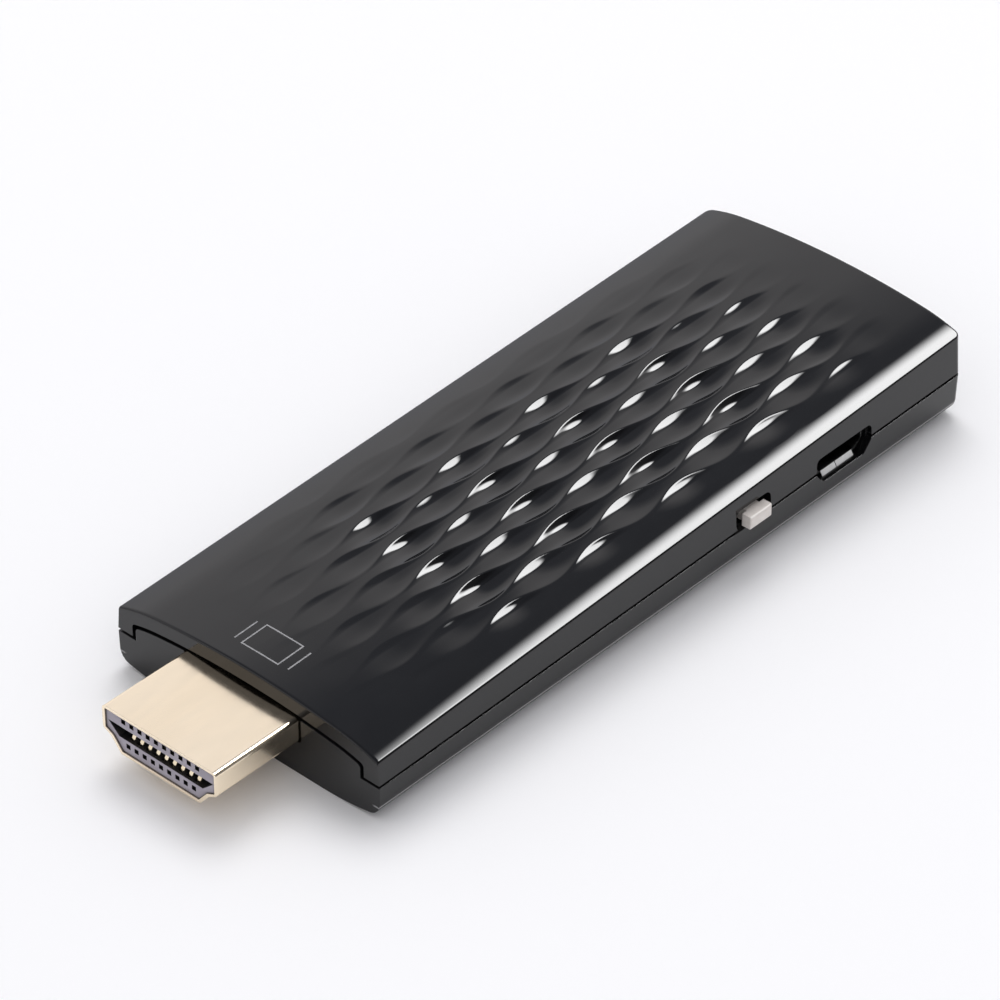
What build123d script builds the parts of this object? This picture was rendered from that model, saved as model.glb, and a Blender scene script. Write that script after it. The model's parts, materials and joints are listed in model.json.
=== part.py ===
"""Wireless display dongle: a stick-shaped receiver that plugs into a screen's video socket.

X runs from the plug end to the rear end, the side with the button and the power socket
faces -Y, Z is up, and the flat of the underside lies at Z = 0 with its centre at the origin.
All sizes are in millimetres and all angles in degrees.
"""

import os
from math import asin, atan, cos, degrees, radians, sin, sqrt, tan

from build123d import *

os.makedirs("parts", exist_ok=True)

# Outer form: two covers that meet at a sloping parting line
case_length = 80.1
parting_half_width = 15.95
front_parting_height = 3.8
rear_parting_height = 4.76
front_crease_height = 6.6
rear_crease_height = 9.12
crown_radius = 95.0
shoulder_width = 4.75
shoulder_radius = 19.0
top_draft = 4.5
belly_half_width = 9.0
belly_radius = 29.0
belly_edge_inset = 0.13
bottom_corner_radius = 1.4
rear_corner_radius = 0.7
end_edge_bevel = 0.25

# Relief on the crown: staggered rows of pointed dimples that fade out towards the edges
dimple_length = 11.0
dimple_width = 3.3
dimple_depth = 0.3
dimple_pitch_x = 11.45
dimple_pitch_y = 4.29
dimple_place = (4.55, 0.65)
dimple_columns = 6
dimple_rows = 7
relief_full_front = -20.0
relief_full_rear = 20.0
relief_end_fade = 17.0
relief_full_half_width = 7.5
relief_side_fade = 6.0
least_relief = 0.25

# Walls and the joint between the covers
side_wall = 1.2
top_wall = 1.5
end_wall = 1.3
parting_gap = 0.32
lap_thickness = 0.5
lap_height = 0.8
lap_clearance = 0.05
inner_corner_radius = 0.3
smallest_radius = 0.1

# Front mouth of the upper cover and the tongue of the lower cover that fills it
lip_thickness = 1.55
mouth_side = 1.85
mouth_gap = 0.42
tongue_corner_radius = 0.5

# Snap hooks
hook_stations = (-27.0, -5.0, 32.0)
hook_width = 4.0
hook_thickness = 0.9
hook_height = 1.9
hook_root = 1.2
hook_reach = 0.35
hook_clearance = 0.2
hook_nose_lift = 0.35
hook_nose_land = 0.15

# Circuit board and the posts that hold it
board_thickness = 1.0
board_top = 4.65
board_half_width = 13.6
board_front_gap = 5.4
board_rear_gap = 2.3
board_corner_radius = 1.0
post_places = ((-31.5, 11.0), (-31.5, -11.0), (13.0, 11.2), (31.5, -10.0))
post_radius = 1.5
pin_radius = 0.5
pin_clearance = 0.1
pin_rise = 0.5
rib_stations = (-20.0, 15.5)
rib_thickness = 0.9
rib_half_length = 12.0

# Video plug
plug_width = 13.9
plug_height = 4.45
plug_reach = 10.1
plug_offset = 0.45
plug_inside = 3.0
plug_sheet = 0.3
plug_side_height = 2.55
plug_ledge = 0.95
plug_ledge_drop = 0.45
plug_bottom_width = 9.6
plug_corner_radius = 0.45
plug_slot_clearance = 0.15
leg_height = 2.2
leg_length = 5.0
leg_clearance = 0.15
insulator_recess = 0.15
insulator_fit = 0.02
insulator_block_length = 1.6
insulator_block_width = 12.4
tongue_slot_top = 1.5
tongue_slot_bottom = 2.7
tongue_slot_top_width = 12.8
tongue_slot_bottom_width = 10.2
contact_pitch = 1.0
upper_contact_count = 10
lower_contact_count = 9
upper_contact_drop = 0.8
lower_contact_drop = 3.3
contact_width = 0.4
contact_thickness = 0.15
contact_setback = 0.25
contact_rise = 1.0
contact_rise_start = 0.1
contact_crown_start = 0.8
contact_crown_end = 1.4
contact_fall_end = 3.4
contact_bend = 0.2
channel_size = 0.5
channel_lip = 0.3
tail_length = 1.4

# Power socket
socket_place = 22.55
socket_height = 4.7
socket_width = 7.5
socket_depth = 5.0
socket_tall = 2.45
socket_narrow = 5.5
socket_key_height = 1.0
socket_recess = 0.95
socket_sheet = 0.25
socket_corner_radius = 0.35
socket_opening_margin = 0.25
socket_tab_width = 1.2
socket_tab_length = 1.3
socket_tab_setback = 2.0
socket_tongue_width = 3.7
socket_tongue_thickness = 0.65
socket_tongue_setback = 1.1
socket_back_thickness = 1.4
socket_contact_count = 5
socket_contact_pitch = 0.65
socket_contact_width = 0.3
socket_contact_thickness = 0.12
seam_width = 0.08

# Push switch and its button
button_place = 9.5
button_width = 3.0
button_tall = 1.35
button_rise = 0.07
button_proud = 0.95
button_head = 1.1
button_stem_width = 1.8
button_travel = 0.25
button_flange = 0.4
button_flange_thickness = 0.5
button_nose = 1.0
button_clearance = 0.05
button_edge_radius = 0.2
switch_overhang = 0.2
switch_width = 6.0
switch_depth = 3.5
switch_tall = 1.5
switch_front_wall = 0.5
switch_back_wall = 1.1
switch_sheet = 0.15
dome_sheet = 0.1
dome_gap = 0.05
notch_width = 4.9
notch_tall = 2.1
notch_corner_radius = 0.7
notch_lift = 0.1

# Parts on the board: places in X and Y, sizes in X, Y and Z
chip_edge = 0.1
processor_place = (-8.0, 1.5)
processor_size = (13.0, 13.0, 1.1)
pad_size = (12.0, 12.0, 0.5)
spreader_size = (19.0, 17.0, 0.5)
spreader_corner_radius = 1.0
memory_places = ((-23.5, 6.3), (-23.5, -6.3))
memory_size = (8.0, 11.0, 0.9)
flash_place = (6.5, 8.0)
flash_size = (8.0, 6.0, 0.8)
power_manager_place = (14.0, -2.5)
power_manager_size = (5.0, 5.0, 0.85)
inductor_places = ((19.0, -6.0), (19.0, -1.0), (14.0, 4.0))
inductor_size = (4.0, 4.0, 1.8)
inductor_edge = 0.5
storage_places = ((24.5, -6.0), (28.6, -6.0), (4.5, -7.5))
storage_size = (3.2, 2.6, 1.8)
storage_edge = 0.3
main_crystal_place = (-8.0, -8.5)
wireless_crystal_place = (35.0, -2.0)
crystal_size = (3.2, 2.5, 0.75)
crystal_edge = 0.15
array_place = (-29.8, 0.45)
array_size = (1.0, 2.5, 0.6)
array_count = 4
array_pitch = 3.1
passive_size = (1.0, 0.5, 0.5)
passive_pitch = 1.6
capacitor_places = ((-8.0, 12.4), (5.0, 1.0))
capacitor_grids = ((8, 1), (3, 4))
resistor_place = (-14.0, -11.2)
resistor_grid = (6, 2)
pull_up_place = (-27.8, 0.0)
pull_up_pitch = 1.2
pull_up_count = 3

# Shielding can over the radio part
shield_place = (27.6, 4.6)
shield_size = (11.6, 14.0, 2.0)
shield_sheet = 0.2
shield_bar_width = 1.6
wireless_size = (7.0, 7.0, 0.85)
lid_skirt = 0.8
lid_clearance = 0.03
lid_hole_radius = 0.6
lid_hole_pitch = 4.0
lid_hole_columns = 2
lid_hole_rows = 3

# Stamped antennas
antenna_inset = 1.5
antenna_depth = 1.8
antenna_length = 8.5
antenna_rise = 2.2
antenna_sheet = 0.2
antenna_leg = 1.0
antenna_leg_gap = 2.0
antenna_y = 8.0

# Foam pad under the board
foam_place = (4.0, 0.0)
foam_size = (18.0, 15.0)
foam_corner_radius = 1.0

# Derived places
front_x = -case_length / 2
rear_x = case_length / 2
board_bottom = board_top - board_thickness
board_middle = board_top - board_thickness / 2
board_front = front_x + board_front_gap
board_rear = rear_x - board_rear_gap
plug_top = board_middle + plug_height / 2
plug_bottom = board_middle - plug_height / 2
plug_tip = front_x - plug_reach
plug_back = front_x + plug_inside
insulator_front = plug_tip + insulator_recess
insulator_back = plug_back + insulator_block_length
above_everything = 2 * rear_crease_height
outside_y = -parting_half_width - 1
cut_depth = 3 * side_wall
rebate = lap_thickness + lap_clearance
tolerance = 0.01
leg_y = plug_width / 2 - plug_sheet / 2
socket_front = -parting_half_width + socket_recess
socket_back = socket_front + socket_depth
dome_rise = 2 * button_travel
middle_crease_height = (front_crease_height + rear_crease_height) / 2
crown_slope = atan((rear_crease_height - front_crease_height) / case_length)
crown_plane = Plane(
    origin=(0, 0, middle_crease_height), x_dir=(0, 1, 0), z_dir=(cos(crown_slope), 0, sin(crown_slope))
)
mouth_half_width = parting_half_width - mouth_side
shoulder_start = parting_half_width - shoulder_width
start_angle = asin(shoulder_start / crown_radius)


def parting_at(x):
    """Height of the parting line, which climbs evenly from the front end to the rear end."""
    return front_parting_height + (rear_parting_height - front_parting_height) * (x - front_x) / case_length


def wall_y(x, z):
    """Half width of the upper cover's drafted side at a place and height."""
    return parting_half_width - (z - parting_at(x)) * tan(radians(top_draft))


shoulder_centre_y = shoulder_start - shoulder_radius * sin(start_angle)
crease_angle = asin((wall_y(0, middle_crease_height) - shoulder_centre_y) / shoulder_radius)
shoulder_centre_z = -shoulder_radius * cos(crease_angle)


def crown_height(y, inset=0.0):
    """Height of the wide middle arc above the crease line, square to the crown's slope."""
    radius = crown_radius - inset
    return shoulder_centre_z - (crown_radius - shoulder_radius) * cos(start_angle) + sqrt(radius**2 - y**2)


def parting_plane(lift):
    """Plane of the parting line, raised by lift."""
    slope = (rear_parting_height - front_parting_height) / case_length
    return Plane(origin=(0, 0, parting_at(0) + lift), z_dir=(-slope, 0, 1))


def side_plane(side, inset):
    """Plane of the upper cover's drafted wall on one side, moved inwards by inset."""
    lean = tan(radians(top_draft))
    slope = (rear_parting_height - front_parting_height) / case_length
    place = (0, side * (parting_half_width - inset), parting_at(0))
    return Plane(origin=place, z_dir=(-slope * lean, side, lean))


def trimmed(block, front, rear, lift, side_inset):
    """Block cut off by two upright end planes, the raised parting plane and both side planes."""
    planes = [Plane.YZ.offset(rear), -Plane.YZ.offset(front), -parting_plane(lift)]
    planes += [side_plane(side, side_inset) for side in (-1, 1)]
    with BuildPart(mode=Mode.PRIVATE) as result:
        add(block)
        for plane in planes:
            split(bisect_by=plane, keep=Keep.BOTTOM)
    return result.part


def cover_block(front, rear, lift, top_inset=0.0, side_inset=0.0):
    """Solid form of the upper cover: a wide crown arc with two tighter shoulder arcs, extruded
    along the crown's slope and cut off by flat drafted sides, which gives the crease lines."""
    radius = shoulder_radius - top_inset
    end_angle = asin((parting_half_width - shoulder_centre_y) / radius)

    def on_shoulder(angle, side):
        return (side * (shoulder_centre_y + radius * sin(angle)), shoulder_centre_z + radius * cos(angle))

    half_angle = (start_angle + end_angle) / 2
    with BuildPart(mode=Mode.PRIVATE) as block:
        with BuildSketch(crown_plane):
            with BuildLine():
                ThreePointArc(on_shoulder(start_angle, -1), (0, crown_height(0, top_inset)),
                              on_shoulder(start_angle, 1))
                ThreePointArc(*(on_shoulder(angle, 1) for angle in (start_angle, half_angle, end_angle)))
                Polyline(on_shoulder(end_angle, 1), (parting_half_width, -above_everything),
                         (-parting_half_width, -above_everything), on_shoulder(end_angle, -1))
                ThreePointArc(*(on_shoulder(angle, -1) for angle in (end_angle, half_angle, start_angle)))
            make_face()
        extrude(amount=case_length, both=True)
    return trimmed(block.part, front, rear, lift, side_inset)


def band_block(front, rear, inset):
    """Solid band between the parting line and the top of the lap, with its sides set inwards."""
    with BuildPart(mode=Mode.PRIVATE) as band:
        with BuildSketch(parting_plane(0)):
            Rectangle(2 * case_length, 4 * parting_half_width)
        extrude(amount=lap_height)
    return trimmed(band.part, front, rear, 0, inset)


def tray_block(front, rear, inset=0.0, corner=bottom_corner_radius):
    """Solid form of the lower cover: near-upright sides, rounded lower corners and a belly that
    curves up gently from a flat middle, cut off by the parting plane."""
    side_y = parting_half_width - inset
    edge_y = side_y - belly_edge_inset
    radius = belly_radius - inset

    def belly(y, side):
        return (side * y, belly_radius - sqrt(radius**2 - (y - belly_half_width) ** 2))

    middle_y = (belly_half_width + edge_y) / 2
    with BuildPart(mode=Mode.PRIVATE) as block:
        with BuildSketch(Plane.YZ.offset(front)) as section:
            with BuildLine():
                ThreePointArc(belly(edge_y, -1), belly(middle_y, -1), belly(belly_half_width, -1))
                Line(belly(belly_half_width, -1), belly(belly_half_width, 1))
                ThreePointArc(belly(belly_half_width, 1), belly(middle_y, 1), belly(edge_y, 1))
                Polyline(belly(edge_y, 1), (side_y, rear_parting_height), (-side_y, rear_parting_height),
                         belly(edge_y, -1))
            make_face()
            fillet([v for v in section.vertices() if abs(abs(v.X) - edge_y) < tolerance], corner)
        extrude(amount=rear - front)
        split(bisect_by=parting_plane(0), keep=Keep.BOTTOM)
    return block.part


def dimple_cutter():
    """Cutter for one pointed dimple along X: a blunt diamond of four flat facets, rim at Z = 0."""
    with BuildPart(mode=Mode.PRIVATE) as cutter:
        Box(2 * dimple_length, 2 * dimple_width, 4 * dimple_depth)
        for end in (-1, 1):
            for side in (-1, 1):
                outwards = (2 * end / dimple_length, 2 * side / dimple_width, -1 / dimple_depth)
                split(bisect_by=Plane(origin=(0, 0, -dimple_depth), z_dir=outwards), keep=Keep.BOTTOM)
    return cutter.part


def relief_strength(x, y):
    """Share of the full dimple that is left at a place: 1 in the middle, 0 at the edges."""
    to_ends = min(x - relief_full_front, relief_full_rear - x) + relief_end_fade
    to_sides = relief_full_half_width - abs(y) + relief_side_fade
    return min(to_ends / relief_end_fade, 1) * min(to_sides / relief_side_fade, 1)


def dimple_locations():
    """Where the cutters go: every other column is set back by half a pitch, and each cutter follows
    the crown's slope and is raised where the relief fades out."""
    spots = []
    for column in range(-dimple_columns, dimple_columns + 1):
        for row in range(-dimple_rows, dimple_rows + 1):
            x = dimple_place[0] + column * dimple_pitch_x / 2
            y = dimple_place[1] + row * dimple_pitch_y / 2
            strength = relief_strength(x, y)
            if (column + row) % 2 == 0 and strength > least_relief:
                lift = dimple_depth * (1 - strength)
                z = middle_crease_height + x * tan(crown_slope) + crown_height(y) / cos(crown_slope) + lift
                tilt = (-degrees(asin(y / crown_radius)), -degrees(crown_slope), 0)
                spots.append(Location((x, y, z), tilt))
    return spots


def mouth_block(clearance):
    """Front opening under the lip, as a block: arched like the crown, closed off at both sides."""
    with BuildPart(mode=Mode.PRIVATE) as block:
        half_width = mouth_half_width - clearance
        add(cover_block(front_x, front_x + end_wall, -end_wall, lip_thickness + clearance, side_wall))
        with BuildSketch(Plane.YZ.offset(front_x)):
            with Locations((0, plug_top)):
                Rectangle(2 * half_width, 2 * above_everything)
        extrude(amount=end_wall, mode=Mode.INTERSECT)
        at_sides = [edge for edge in block.edges() if abs(edge.center().Y) > half_width - tolerance]
        fillet(ShapeList(at_sides).group_by(Axis.Z)[-1], tongue_corner_radius)
    return block.part


def plug_outline(x, inset, width_centre=plug_offset):
    """Outline of the video plug: upright sides, a small ledge, then slopes to a narrower bottom."""
    half_width = plug_width / 2 - inset
    half_bottom = plug_bottom_width / 2 - inset / 2
    top = plug_top - inset
    side_end = plug_top - plug_side_height + inset / 2
    ledge_y = half_width - plug_ledge
    with BuildSketch(Plane.YZ.offset(x)) as outline:
        with Locations((width_centre, 0)):
            Polygon(
                (-half_width, top),
                (half_width, top),
                (half_width, side_end),
                (ledge_y, side_end - plug_ledge_drop),
                (half_bottom, plug_bottom + inset),
                (-half_bottom, plug_bottom + inset),
                (-ledge_y, side_end - plug_ledge_drop),
                (-half_width, side_end),
                align=None,
            )
        fillet(outline.vertices(), max(plug_corner_radius - abs(inset), smallest_radius))
    return outline.sketch


def socket_outline(y, margin):
    """Keyed outline of the power socket, wide at the top, seen from the button side."""
    half_width = socket_width / 2 + margin
    half_narrow = socket_narrow / 2 + margin
    top = socket_tall / 2 + margin
    with BuildSketch(Plane.XZ.offset(-y)) as outline:
        with Locations((socket_place, socket_height)):
            Polygon(
                (-half_width, top),
                (half_width, top),
                (half_width, -socket_tall / 2 + socket_key_height),
                (half_narrow, -top),
                (-half_narrow, -top),
                (-half_width, -socket_tall / 2 + socket_key_height),
                align=None,
            )
        fillet(outline.vertices(), max(socket_corner_radius + margin, smallest_radius))
    return outline.sketch


def notch_sketch():
    """Rounded opening that the button stands in, at the wall of the button side."""
    with BuildSketch(Plane.XZ.offset(-outside_y)) as notch:
        with Locations((button_place, parting_at(button_place) + notch_lift + notch_tall / 2)):
            RectangleRounded(notch_width, notch_tall, notch_corner_radius)
    return notch.sketch


def hook_profile(x, side, grow=0.0):
    """Profile of a snap hook, or with grow the pocket for its nose, on one side of the case."""
    parting = parting_at(x)

    def at(inset, height):
        return (side * (parting_half_width - inset), parting + height)

    back = side_wall + hook_thickness
    lean = hook_height * tan(radians(top_draft)) + hook_clearance
    nose = side_wall - hook_reach
    nose_low = lap_height + hook_nose_lift
    with BuildSketch(Plane.YZ.offset(x - hook_width / 2 - grow)) as profile:
        if grow:
            Polygon(
                at(nose - grow, nose_low - grow),
                at(nose - grow, hook_height),
                at(back, hook_height),
                at(back, nose_low - grow),
                align=None,
            )
        else:
            Polygon(
                at(side_wall, -hook_root),
                at(side_wall, 0),
                at(side_wall, lap_height - hook_clearance),
                at(side_wall + lean, lap_height - hook_clearance / 4),
                at(side_wall + lean, nose_low),
                at(nose, nose_low),
                at(nose, nose_low + hook_nose_land),
                at(side_wall + lean, hook_height),
                at(back, hook_height),
                at(back, -hook_root / 2),
                align=None,
            )
    return profile.sketch


def contact_row(count):
    """Places across the plug of a row of contacts."""
    return [plug_offset + contact_pitch * (i - (count - 1) / 2) for i in range(count)]


# Space inside the upper cover, with the posts that press on the board left standing
with BuildPart() as upper_space:
    add(cover_block(front_x + end_wall, rear_x - end_wall, -end_wall, top_wall, side_wall))
    with BuildSketch(Plane.XY.offset(board_top)):
        with Locations(*post_places):
            Circle(post_radius)
            Circle(pin_radius + 2 * pin_clearance, mode=Mode.SUBTRACT)
    extrude(amount=above_everything, mode=Mode.SUBTRACT)
    with BuildSketch(Plane.XY.offset(board_top + 2 * pin_rise)):
        with Locations(*post_places):
            Circle(post_radius)
    extrude(amount=above_everything, mode=Mode.SUBTRACT)

# Upper cover
with BuildPart() as top_cover:
    add(cover_block(front_x, rear_x, parting_gap))
    for end_face in (top_cover.faces().sort_by(Axis.X)[0], top_cover.faces().sort_by(Axis.X)[-1]):
        chamfer(end_face.edges().filter_by(GeomType.LINE, reverse=True), end_edge_bevel)
    corner_y = wall_y(rear_x, rear_crease_height) - tolerance
    rear_edges = [edge for edge in top_cover.edges() if edge.center().X > rear_x - end_edge_bevel]
    fillet([edge for edge in rear_edges if abs(edge.center().Y) > corner_y], rear_corner_radius)
    dimple = dimple_cutter()
    add([spot * dimple for spot in dimple_locations()], mode=Mode.SUBTRACT)
    add(upper_space.part, mode=Mode.SUBTRACT)
    add(band_block(front_x + end_wall, rear_x - end_wall + rebate, side_wall - rebate), mode=Mode.SUBTRACT)
    for station in hook_stations:
        for side in (-1, 1):
            extrude(hook_profile(station, side, hook_clearance / 2), amount=hook_width + hook_clearance,
                    mode=Mode.SUBTRACT)
    add(mouth_block(0), mode=Mode.SUBTRACT)
    extrude(notch_sketch(), amount=-cut_depth, mode=Mode.SUBTRACT)
    extrude(socket_outline(outside_y, socket_opening_margin), amount=-cut_depth, mode=Mode.SUBTRACT)

# Space inside the lower cover, with the board's posts and cross ribs left standing
with BuildPart() as lower_space:
    add(tray_block(front_x + end_wall, rear_x - end_wall, side_wall, inner_corner_radius))
    with BuildSketch(Plane.XY):
        with Locations(*post_places):
            Circle(post_radius)
        for station in rib_stations:
            with Locations((station, 0)):
                Rectangle(rib_thickness, 2 * rib_half_length)
    extrude(amount=board_bottom, mode=Mode.SUBTRACT)

# Lower cover
with BuildPart() as bottom_cover:
    add(tray_block(front_x, rear_x))
    rear_face = bottom_cover.faces().sort_by(Axis.X)[-1]
    fillet(rear_face.edges().filter_by(GeomType.LINE).group_by(SortBy.LENGTH)[0], rear_corner_radius)
    add(band_block(front_x + end_wall + lap_clearance, rear_x - end_wall + lap_thickness,
                   side_wall - lap_thickness))
    add(band_block(front_x + end_wall, rear_x - end_wall, side_wall), mode=Mode.SUBTRACT)
    add(lower_space.part, mode=Mode.SUBTRACT)
    add(mouth_block(mouth_gap))
    with BuildSketch(Plane.XY.offset(board_bottom)):
        with Locations(*post_places):
            Circle(pin_radius)
    extrude(amount=board_thickness + pin_rise)
    for station in hook_stations:
        for side in (-1, 1):
            extrude(hook_profile(station, side), amount=hook_width)
    extrude(plug_outline(front_x, -plug_slot_clearance), amount=end_wall, mode=Mode.SUBTRACT)
    with BuildSketch(Plane.YZ.offset(front_x)):
        with Locations((plug_offset, plug_top - plug_side_height / 2)):
            Rectangle(plug_width + 2 * plug_slot_clearance, plug_height, align=(Align.CENTER, Align.MIN))
    extrude(amount=end_wall, mode=Mode.SUBTRACT)
    extrude(notch_sketch(), amount=-cut_depth, mode=Mode.SUBTRACT)
    extrude(socket_outline(outside_y, socket_opening_margin), amount=-cut_depth, mode=Mode.SUBTRACT)

# Circuit board, with slots for the plug's legs and a bay for the sunken power socket
with BuildPart() as circuit_board:
    with BuildSketch(Plane.XY.offset(board_bottom)) as board_outline:
        with Locations(((board_front + board_rear) / 2, 0)):
            RectangleRounded(board_rear - board_front, 2 * board_half_width, board_corner_radius)
        with Locations(*post_places):
            Circle(pin_radius + pin_clearance, mode=Mode.SUBTRACT)
        slot_length = plug_back + leg_length - board_front + leg_clearance
        with Locations((board_front, plug_offset - leg_y), (board_front, plug_offset + leg_y)):
            Rectangle(slot_length, plug_sheet + 2 * leg_clearance, align=(Align.MIN, Align.CENTER),
                      mode=Mode.SUBTRACT)
        with Locations((socket_place, socket_back + leg_clearance)):
            Rectangle(socket_width + 2 * leg_clearance, board_half_width, align=(Align.CENTER, Align.MAX),
                      mode=Mode.SUBTRACT)
    extrude(amount=board_thickness)

# Folded sheet of the video plug, with two legs that are soldered into the board
with BuildPart() as display_plug_shell:
    extrude(plug_outline(plug_tip, 0), amount=plug_reach + plug_inside)
    extrude(plug_outline(plug_tip, plug_sheet), amount=plug_reach + plug_inside, mode=Mode.SUBTRACT)
    with BuildSketch(Plane.YZ.offset(plug_back)):
        with Locations((plug_offset - leg_y, board_middle), (plug_offset + leg_y, board_middle)):
            Rectangle(plug_sheet, leg_height)
    extrude(amount=leg_length)

# Insulator in the plug: a mouth for the mating tongue and one channel for each contact
with BuildPart() as display_plug_insulator:
    extrude(plug_outline(insulator_front, plug_sheet + insulator_fit), amount=plug_back - insulator_front)
    with BuildSketch(Plane.YZ.offset(plug_back)):
        with Locations((plug_offset, board_middle)):
            RectangleRounded(insulator_block_width, plug_height - 2 * plug_sheet, inner_corner_radius)
    extrude(amount=insulator_block_length)
    with BuildSketch(Plane.YZ.offset(insulator_front)):
        with Locations((plug_offset, plug_top)):
            Polygon(
                (-tongue_slot_top_width / 2, -tongue_slot_top),
                (tongue_slot_top_width / 2, -tongue_slot_top),
                (tongue_slot_bottom_width / 2, -tongue_slot_bottom),
                (-tongue_slot_bottom_width / 2, -tongue_slot_bottom),
                align=None,
            )
    extrude(amount=plug_reach - insulator_recess, mode=Mode.SUBTRACT)
    with BuildSketch(Plane.YZ.offset(insulator_front)):
        with Locations(*[(y, plug_top - upper_contact_drop) for y in contact_row(upper_contact_count)]):
            Rectangle(channel_size, channel_size)
        with Locations(*[(y, plug_top - lower_contact_drop) for y in contact_row(lower_contact_count)]):
            Rectangle(channel_size, channel_size)
    extrude(amount=insulator_back - insulator_front, mode=Mode.SUBTRACT)
    with BuildSketch(Plane.YZ.offset(insulator_front + channel_lip)):
        with Locations(*[(y, plug_top - upper_contact_drop) for y in contact_row(upper_contact_count)]):
            Rectangle(channel_size, tongue_slot_top - upper_contact_drop, align=(Align.CENTER, Align.MAX))
        with Locations(*[(y, plug_top - lower_contact_drop) for y in contact_row(lower_contact_count)]):
            Rectangle(channel_size, lower_contact_drop - tongue_slot_bottom, align=(Align.CENTER, Align.MIN))
    extrude(amount=plug_reach - insulator_recess - channel_lip, mode=Mode.SUBTRACT)


def contact_strips(count, drop, side):
    """A row of spring contacts: a nose in the channel, a crown that rises into the tongue slot,
    a straight run through the insulator, and a tail that lies on the board's face."""
    height = plug_top - drop
    face = board_middle - side * (board_thickness + contact_thickness) / 2
    nose = insulator_front + contact_setback
    strips = []
    for y in contact_row(count):
        with BuildPart(mode=Mode.PRIVATE) as strip:
            with BuildSketch(Plane.XZ.offset(-y)):
                with BuildLine():
                    Polyline(
                        (nose, height),
                        (nose + contact_rise_start, height),
                        (nose + contact_crown_start, height + side * contact_rise),
                        (nose + contact_crown_end, height + side * contact_rise),
                        (nose + contact_fall_end, height),
                        (insulator_back + contact_bend, height),
                        (board_front - contact_bend, face),
                        (board_front + tail_length, face),
                    )
                trace(line_width=contact_thickness)
            extrude(amount=contact_width / 2, both=True)
        strips.append(strip.part)
    return strips


with BuildPart() as display_plug_upper_contacts:
    add(contact_strips(upper_contact_count, upper_contact_drop, -1))

with BuildPart() as display_plug_lower_contacts:
    add(contact_strips(lower_contact_count, lower_contact_drop, 1))

# Power socket, sunk into the board's edge behind its opening in the side wall
with BuildPart() as power_socket_shell:
    extrude(socket_outline(socket_front, 0), amount=-socket_depth)
    extrude(socket_outline(socket_front, -socket_sheet), amount=-socket_depth, mode=Mode.SUBTRACT)
    with BuildSketch(Plane.XY.offset(socket_height - socket_tall / 2)):
        with Locations((socket_place, socket_front)):
            Rectangle(seam_width, socket_depth, align=(Align.CENTER, Align.MIN))
    extrude(amount=socket_sheet, mode=Mode.SUBTRACT)
    with BuildSketch(Plane.XY.offset(board_top)):
        for side in (-1, 1):
            tab_x = socket_place + side * (socket_width + socket_tab_width) / 2
            with Locations((tab_x, socket_back - socket_tab_setback)):
                Rectangle(socket_tab_width, socket_tab_length)
    extrude(amount=socket_sheet)

with BuildPart() as power_socket_tongue:
    extrude(socket_outline(socket_back - socket_back_thickness, -socket_sheet - insulator_fit),
            amount=-socket_back_thickness)
    with BuildSketch(Plane.XZ.offset(-socket_front - socket_tongue_setback)):
        with Locations((socket_place, socket_height + socket_tongue_thickness / 2)):
            Rectangle(socket_tongue_width, socket_tongue_thickness)
    extrude(amount=-(socket_depth - socket_back_thickness - socket_tongue_setback))

with BuildPart() as power_socket_contacts:
    with BuildSketch(Plane.XZ.offset(-socket_front - 2 * socket_tongue_setback)):
        with Locations((socket_place, socket_height - socket_contact_thickness / 2)):
            with GridLocations(socket_contact_pitch, 0, socket_contact_count, 1):
                Rectangle(socket_contact_width, socket_contact_thickness)
    extrude(amount=-(socket_depth - socket_back_thickness - 2 * socket_tongue_setback))

# Push switch: housing, steel cover, snap dome, and the button that moves along Y
button_low = board_top + button_rise
button_middle = button_low + button_tall / 2
wall_face = -wall_y(button_place, button_middle)
button_tip = wall_face - button_proud
switch_front = -board_half_width - switch_overhang
switch_back = switch_front + switch_depth
flange_front = switch_front + switch_front_wall + button_clearance
dome_back = switch_back - switch_back_wall
dome_front = dome_back - dome_rise - dome_sheet
with BuildPart() as switch_housing:
    with BuildSketch(Plane.XY.offset(board_top)):
        with Locations((button_place, switch_front)):
            Rectangle(switch_width, switch_depth, align=(Align.CENTER, Align.MIN))
    extrude(amount=switch_tall)
    with BuildSketch(Plane.XY.offset(button_low - button_clearance)):
        with Locations((button_place, switch_front)):
            Rectangle(button_stem_width + 2 * button_clearance, switch_depth - switch_back_wall,
                      align=(Align.CENTER, Align.MIN))
        with Locations((button_place, switch_front + switch_front_wall)):
            Rectangle(button_width + 2 * button_flange + 2 * button_clearance,
                      switch_depth - switch_back_wall - switch_front_wall, align=(Align.CENTER, Align.MIN))
    extrude(amount=switch_tall, mode=Mode.SUBTRACT)

with BuildPart() as switch_cover:
    with BuildSketch(Plane.XZ.offset(-switch_front)):
        with Locations((button_place, board_top)):
            Rectangle(switch_width + 2 * switch_sheet, switch_tall + switch_sheet,
                      align=(Align.CENTER, Align.MIN))
            Rectangle(switch_width, switch_tall, align=(Align.CENTER, Align.MIN), mode=Mode.SUBTRACT)
    extrude(amount=-switch_depth)

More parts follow.
